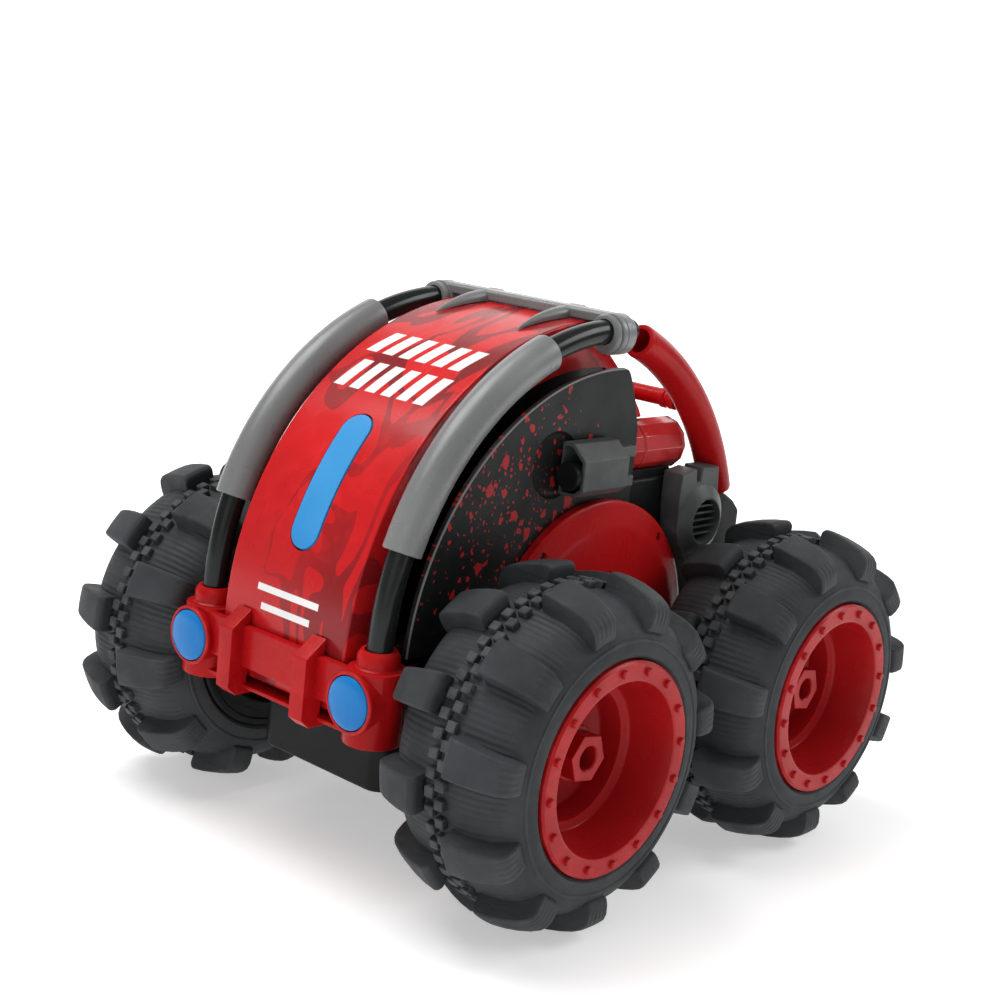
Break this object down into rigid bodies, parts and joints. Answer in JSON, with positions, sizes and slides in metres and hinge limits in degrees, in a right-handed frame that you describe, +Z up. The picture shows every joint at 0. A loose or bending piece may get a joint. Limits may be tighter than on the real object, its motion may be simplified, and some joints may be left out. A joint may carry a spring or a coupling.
{
  "type": "rc stunt car",
  "caption": "Remote-controlled amphibious stunt car with fat lugged tyres, an arched red shell between roll tubes, an engine-style rear and geared wheels on each side.",
  "frame": {"origin": "on the ground, under the middle of the wheelbase, midway between the left and right wheels", "axes": "+Z up, +Y towards the rear of the car (its front faces -Y), +X towards its left side"},
  "size_m": [0.18, 0.2084, 0.1622],
  "materials": {
    "red_plastic": "glossy moulded ABS, deep red",
    "black_plastic": "satin moulded ABS, black",
    "grey_plastic": "satin moulded plastic, mid grey",
    "dark_grey_plastic": "satin moulded plastic, dark grey",
    "tyre_rubber": "matt soft rubber, dark grey",
    "blue_lens": "translucent blue lens plastic, glossy",
    "white_nylon": "natural nylon",
    "steel": "drawn steel",
    "green_board": "green circuit board",
    "battery_wrap": "shrink-wrapped cells, dark blue",
    "seal_rubber": "soft silicone rubber, dark red"
  },
  "bodies": {
    "chassis": {"battery_pack": "battery_wrap", "centre_shell": "red_plastic", "chassis_tub": "black_plastic", "circuit_board": "green_board", "engine_barrel_left": "red_plastic", "engine_barrel_right": "red_plastic", "front_bumper": "red_plastic", "gearbox_housing_left": "black_plastic", "gearbox_housing_right": "black_plastic", "hoop_brace": "red_plastic", "hull_seal": "seal_rubber", "intake_block_left": "dark_grey_plastic", "intake_block_right": "dark_grey_plastic", "lamp_lens_left": "blue_lens", "lamp_lens_right": "blue_lens", "motor_left": "steel", "motor_right": "steel", "rear_bumper": "red_plastic", "rear_hoop_left": "red_plastic", "rear_hoop_right": "red_plastic", "roll_tube_left": "black_plastic", "roll_tube_right": "black_plastic", "side_cover_left": "red_plastic", "side_cover_right": "red_plastic", "side_plate_left": "black_plastic", "side_plate_right": "black_plastic", "stripe_lens": "blue_lens", "top_crossbar": "grey_plastic", "tube_sleeve_left": "grey_plastic", "tube_sleeve_right": "grey_plastic", "upper_body": "black_plastic", "vent_housing_left": "dark_grey_plastic", "vent_housing_right": "dark_grey_plastic"},
    "wheel_front_left": {"tyre_front_left": "tyre_rubber", "rim_front_left": "red_plastic", "rim_back_front_left": "black_plastic", "axle_front_left": "steel"},
    "idler_gear_front_left": {"idler_front_left": "white_nylon"},
    "wheel_rear_left": {"tyre_rear_left": "tyre_rubber", "rim_rear_left": "red_plastic", "rim_back_rear_left": "black_plastic", "axle_rear_left": "steel"},
    "idler_gear_rear_left": {"idler_rear_left": "white_nylon"},
    "centre_gear_train_left": {"centre_gear_left": "white_nylon"},
    "motor_pinion_left": {"pinion_left": "white_nylon"},
    "wheel_front_right": {"tyre_front_right": "tyre_rubber", "rim_front_right": "red_plastic", "rim_back_front_right": "black_plastic", "axle_front_right": "steel"},
    "idler_gear_front_right": {"idler_front_right": "white_nylon"},
    "wheel_rear_right": {"tyre_rear_right": "tyre_rubber", "rim_rear_right": "red_plastic", "rim_back_rear_right": "black_plastic", "axle_rear_right": "steel"},
    "idler_gear_rear_right": {"idler_rear_right": "white_nylon"},
    "centre_gear_train_right": {"centre_gear_right": "white_nylon"},
    "motor_pinion_right": {"pinion_right": "white_nylon"},
    "battery_door": {"battery_cover": "black_plastic"},
    "switch_knob": {"power_switch": "red_plastic"}
  },
  "joints": [
    {"name": "wheel_front_left_spin", "type": "hinge", "parent": "chassis", "child": "wheel_front_left", "pos_m": [0.06725, -0.054, 0.05], "axis": [1, 0, 0], "continuous": true},
    {"name": "wheel_rear_left_spin", "type": "hinge", "parent": "chassis", "child": "wheel_rear_left", "pos_m": [0.06725, 0.054, 0.05], "axis": [1, 0, 0], "continuous": true},
    {"name": "idler_front_left_spin", "type": "hinge", "parent": "chassis", "child": "idler_gear_front_left", "pos_m": [0.0316, -0.027, 0.05], "axis": [1, 0, 0], "continuous": true},
    {"name": "idler_rear_left_spin", "type": "hinge", "parent": "chassis", "child": "idler_gear_rear_left", "pos_m": [0.0316, 0.027, 0.05], "axis": [1, 0, 0], "continuous": true},
    {"name": "centre_gear_left_spin", "type": "hinge", "parent": "chassis", "child": "centre_gear_train_left", "pos_m": [0.03, 0, 0.05], "axis": [1, 0, 0], "continuous": true},
    {"name": "pinion_left_spin", "type": "hinge", "parent": "chassis", "child": "motor_pinion_left", "pos_m": [0.028, 0.021, 0.05], "axis": [1, 0, 0], "continuous": true},
    {"name": "wheel_front_right_spin", "type": "hinge", "parent": "chassis", "child": "wheel_front_right", "pos_m": [-0.06725, -0.054, 0.05], "axis": [1, 0, 0], "continuous": true},
    {"name": "wheel_rear_right_spin", "type": "hinge", "parent": "chassis", "child": "wheel_rear_right", "pos_m": [-0.06725, 0.054, 0.05], "axis": [1, 0, 0], "continuous": true},
    {"name": "idler_front_right_spin", "type": "hinge", "parent": "chassis", "child": "idler_gear_front_right", "pos_m": [-0.0316, -0.027, 0.05], "axis": [1, 0, 0], "continuous": true},
    {"name": "idler_rear_right_spin", "type": "hinge", "parent": "chassis", "child": "idler_gear_rear_right", "pos_m": [-0.0316, 0.027, 0.05], "axis": [1, 0, 0], "continuous": true},
    {"name": "centre_gear_right_spin", "type": "hinge", "parent": "chassis", "child": "centre_gear_train_right", "pos_m": [-0.03, 0, 0.05], "axis": [1, 0, 0], "continuous": true},
    {"name": "pinion_right_spin", "type": "hinge", "parent": "chassis", "child": "motor_pinion_right", "pos_m": [-0.028, -0.021, 0.05], "axis": [1, 0, 0], "continuous": true},
    {"name": "battery_cover_slide", "type": "slide", "parent": "chassis", "child": "battery_door", "axis": [0, 1, 0], "range_m": [0, 0.02]},
    {"name": "power_switch_slide", "type": "slide", "parent": "chassis", "child": "switch_knob", "axis": [0, 1, 0], "range_m": [0, 0.004]}
  ],
  "couplings": [
    {"joint": "wheel_rear_left_spin", "follows": "wheel_front_left_spin", "ratio": 1},
    {"joint": "idler_front_left_spin", "follows": "wheel_front_left_spin", "ratio": -0.8},
    {"joint": "idler_rear_left_spin", "follows": "wheel_front_left_spin", "ratio": -0.8},
    {"joint": "centre_gear_left_spin", "follows": "wheel_front_left_spin", "ratio": 1},
    {"joint": "pinion_left_spin", "follows": "wheel_front_left_spin", "ratio": -2.5},
    {"joint": "wheel_rear_right_spin", "follows": "wheel_front_right_spin", "ratio": 1},
    {"joint": "idler_front_right_spin", "follows": "wheel_front_right_spin", "ratio": -0.8},
    {"joint": "idler_rear_right_spin", "follows": "wheel_front_right_spin", "ratio": -0.8},
    {"joint": "centre_gear_right_spin", "follows": "wheel_front_right_spin", "ratio": 1},
    {"joint": "pinion_right_spin", "follows": "wheel_front_right_spin", "ratio": -2.5}
  ]
}
